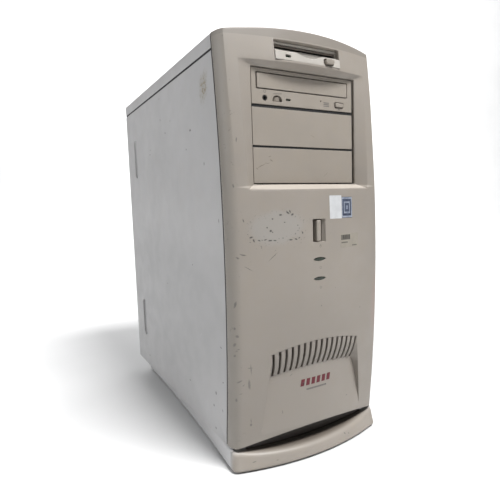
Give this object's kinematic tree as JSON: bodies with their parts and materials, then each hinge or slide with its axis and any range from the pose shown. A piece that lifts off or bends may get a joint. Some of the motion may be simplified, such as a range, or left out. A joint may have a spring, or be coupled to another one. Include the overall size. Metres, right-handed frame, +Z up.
{
  "type": "desktop computer tower",
  "caption": "Upright desktop computer tower with a bowed plastic front, drive bays, lamps and an air scoop, steel covers, a rear connector field and a moulded plinth.",
  "frame": {"origin": "middle of the overall box, on the surface the tower stands on", "axes": "+Z up, -Y the front with the drive bays, +X to the right when seen from the front"},
  "size_m": [0.2248, 0.442, 0.5157],
  "materials": {
    "case_paint": "light grey baked enamel, slightly textured",
    "bezel_plastic": "warm grey moulded plastic with a fine grain, aged",
    "blank_plastic": "darker warm grey moulded plastic",
    "white_plastic": "off-white moulded plastic",
    "grey_plastic": "mid-grey moulded plastic",
    "black_plastic": "black moulded plastic",
    "lens": "dark tinted clear plastic, glossy",
    "zinc_steel": "zinc-plated steel sheet, satin",
    "rubber": "black rubber",
    "circuit_board": "green lacquered glass-fibre board",
    "cast_aluminium": "bare aluminium"
  },
  "bodies": {
    "chassis": {"blank_cover_lower": "blank_plastic", "blank_cover_upper": "blank_plastic", "board_tray": "zinc_steel", "case_fan_frame": "black_plastic", "disc_drive_case": "zinc_steel", "disc_drive_faceplate": "blank_plastic", "disc_lamp_lens": "lens", "disk_lamp_lens": "lens", "drive_cage_left": "zinc_steel", "drive_cage_right": "zinc_steel", "drive_shelf": "zinc_steel", "floor_pan": "zinc_steel", "floppy_drive_case": "zinc_steel", "floppy_faceplate": "white_plastic", "floppy_lamp_lens": "lens", "foot_front_left": "rubber", "foot_front_right": "rubber", "foot_rear_left": "rubber", "foot_rear_right": "rubber", "front_bezel": "bezel_plastic", "front_plate": "zinc_steel", "graphics_bracket": "zinc_steel", "graphics_card": "circuit_board", "hard_drive": "cast_aluminium", "headphone_jack": "black_plastic", "keyboard_mouse_ports": "black_plastic", "memory_module": "circuit_board", "motherboard": "circuit_board", "network_port": "black_plastic", "parallel_port": "grey_plastic", "plinth": "bezel_plastic", "port_plate": "zinc_steel", "power_inlet": "black_plastic", "power_lamp_lens": "lens", "power_switch": "black_plastic", "processor_cartridge": "black_plastic", "processor_heatsink": "cast_aluminium", "rear_panel": "zinc_steel", "right_side_panel": "case_paint", "serial_port": "zinc_steel", "slot_covers": "zinc_steel", "supply_case": "zinc_steel", "supply_fan_guard": "zinc_steel", "top_cover": "case_paint", "usb_ports": "zinc_steel", "video_port": "zinc_steel", "voltage_selector": "black_plastic"},
    "side_panel": {"left_side_panel": "case_paint"},
    "thumbscrew_top": {"thumbscrew_upper": "zinc_steel"},
    "thumbscrew_bottom": {"thumbscrew_lower": "zinc_steel"},
    "power_key": {"power_button": "bezel_plastic"},
    "floppy_eject": {"floppy_eject_button": "grey_plastic"},
    "floppy_flap": {"floppy_door": "black_plastic"},
    "tray": {"disc_tray": "black_plastic", "disc_tray_door": "blank_plastic"},
    "disc_eject": {"disc_eject_button": "blank_plastic"},
    "volume": {"volume_wheel": "blank_plastic"},
    "supply_fan": {"supply_fan_rotor": "black_plastic"},
    "case_fan": {"case_fan_rotor": "grey_plastic"},
    "voltage_slide": {"voltage_slider": "white_plastic"}
  },
  "joints": [
    {"name": "side_panel_slide", "type": "slide", "parent": "chassis", "child": "side_panel", "axis": [0, 1, 0], "range_m": [0, 0.43]},
    {"name": "thumbscrew_upper_turn", "type": "hinge", "parent": "side_panel", "child": "thumbscrew_top", "pos_m": [-0.106, 0.2166, 0.43], "axis": [0, 1, 0], "range_deg": [0, 1080]},
    {"name": "thumbscrew_lower_turn", "type": "hinge", "parent": "side_panel", "child": "thumbscrew_bottom", "pos_m": [-0.106, 0.2166, 0.096], "axis": [0, 1, 0], "range_deg": [0, 1080]},
    {"name": "power_button_press", "type": "slide", "parent": "chassis", "child": "power_key", "axis": [0, 1, 0], "range_m": [0, 0.003], "stiffness_N_per_m": 400, "springref_m": -0.001},
    {"name": "floppy_eject_press", "type": "slide", "parent": "chassis", "child": "floppy_eject", "axis": [0, 1, 0], "range_m": [0, 0.004], "stiffness_N_per_m": 400, "springref_m": -0.001},
    {"name": "floppy_door_swing", "type": "hinge", "parent": "chassis", "child": "floppy_flap", "pos_m": [0, -0.1969, 0.4975], "axis": [1, 0, 0], "range_deg": [0, 80], "stiffness_Nm_per_rad": 0.0005, "springref_deg": -20.05},
    {"name": "disc_tray_slide", "type": "slide", "parent": "chassis", "child": "tray", "axis": [0, -1, 0], "range_m": [0, 0.13]},
    {"name": "disc_eject_press", "type": "slide", "parent": "chassis", "child": "disc_eject", "axis": [0, 1, 0], "range_m": [0, 0.0015], "stiffness_N_per_m": 600, "springref_m": -0.0005},
    {"name": "volume_wheel_turn", "type": "hinge", "parent": "chassis", "child": "volume", "pos_m": [-0.0395, -0.1909, 0.4379], "axis": [0, 0, 1], "range_deg": [-135, 135]},
    {"name": "supply_fan_spin", "type": "hinge", "parent": "chassis", "child": "supply_fan", "pos_m": [-0.004, 0.19, 0.457], "axis": [0, 1, 0], "continuous": true},
    {"name": "case_fan_spin", "type": "hinge", "parent": "chassis", "child": "case_fan", "pos_m": [0, -0.16, 0.128], "axis": [0, 1, 0], "continuous": true},
    {"name": "voltage_selector_slide", "type": "slide", "parent": "chassis", "child": "voltage_slide", "axis": [1, 0, 0], "range_m": [0, 0.0052]}
  ]
}
